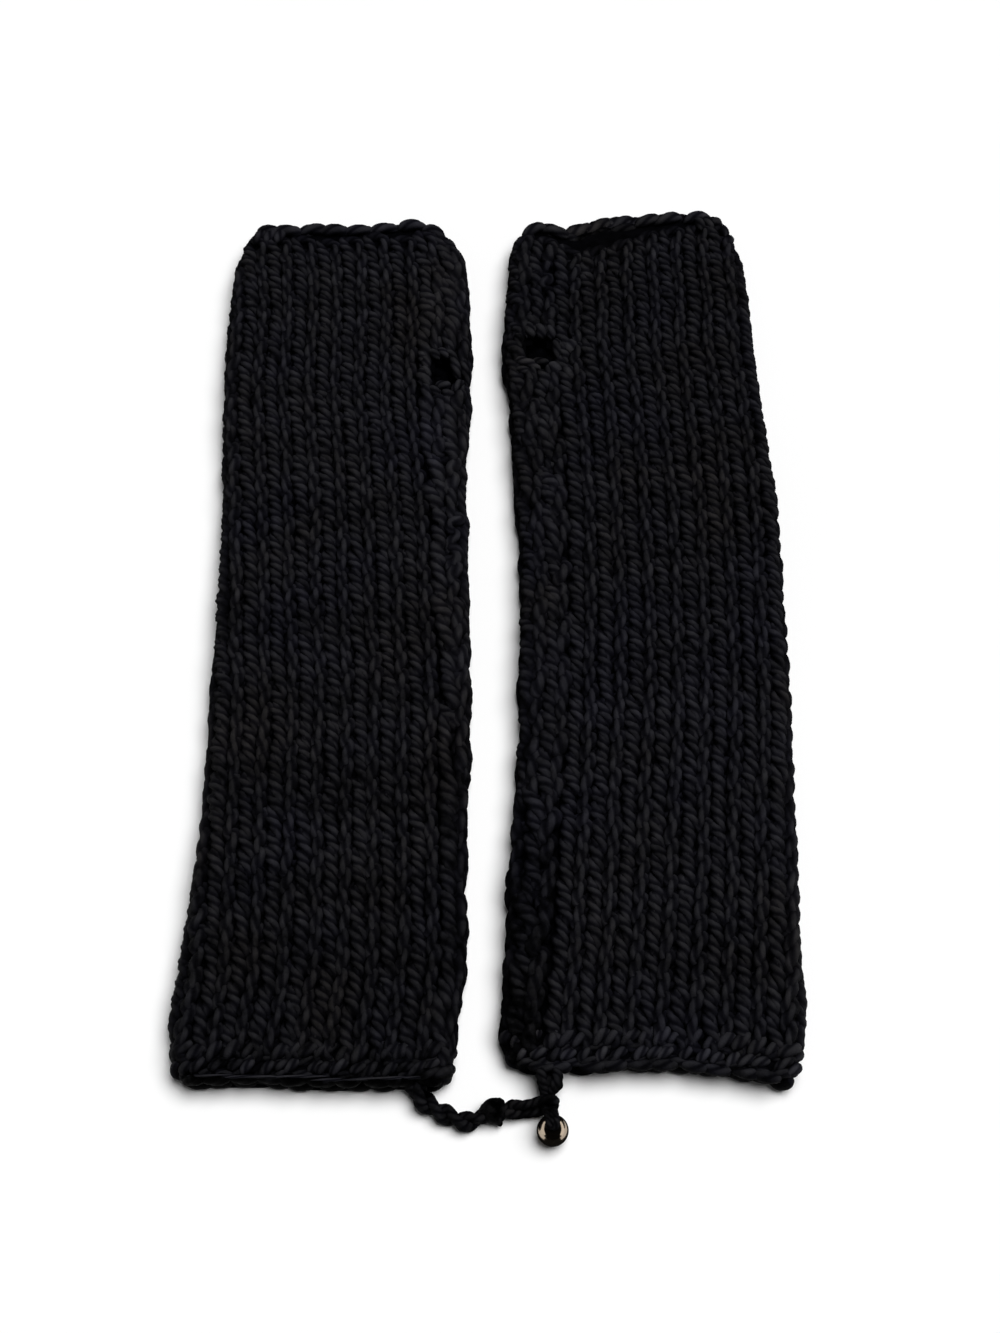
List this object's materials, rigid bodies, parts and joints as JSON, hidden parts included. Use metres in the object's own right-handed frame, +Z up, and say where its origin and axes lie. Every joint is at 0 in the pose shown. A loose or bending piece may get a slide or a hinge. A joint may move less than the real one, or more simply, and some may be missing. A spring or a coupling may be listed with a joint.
{
  "type": "pair of knitted arm warmers",
  "caption": "Pair of long fingerless arm warmers in chunky black stockinette knit, laid flat and buttoned together at their lower corners by a cord loop and a brass ball button.",
  "frame": {"origin": "on the surface that the pair lies on, under the middle of the pair without its loop cord", "axes": "+X across the pair from the left piece to the right piece, +Y along them from the elbow ends to the finger ends, +Z up from the surface"},
  "size_m": [0.2132, 0.3902, 0.0128],
  "materials": {
    "black_wool": "matte, slightly fuzzy wool yarn",
    "polished_brass": "polished"
  },
  "bodies": {
    "root": {"left_knit_panel": "black_wool", "left_seam_strip": "black_wool", "left_lower_border": "black_wool", "left_upper_edge": "black_wool", "right_knit_panel": "black_wool", "right_seam_strip": "black_wool", "right_lower_border": "black_wool", "right_upper_edge": "black_wool", "loop_cord": "black_wool", "loop_knot": "black_wool", "loop_eye": "black_wool", "shank_knot": "black_wool", "shank_neck": "black_wool", "button_strand_left": "black_wool", "button_strand_right": "black_wool", "ball_button": "polished_brass"}
  },
  "joints": []
}
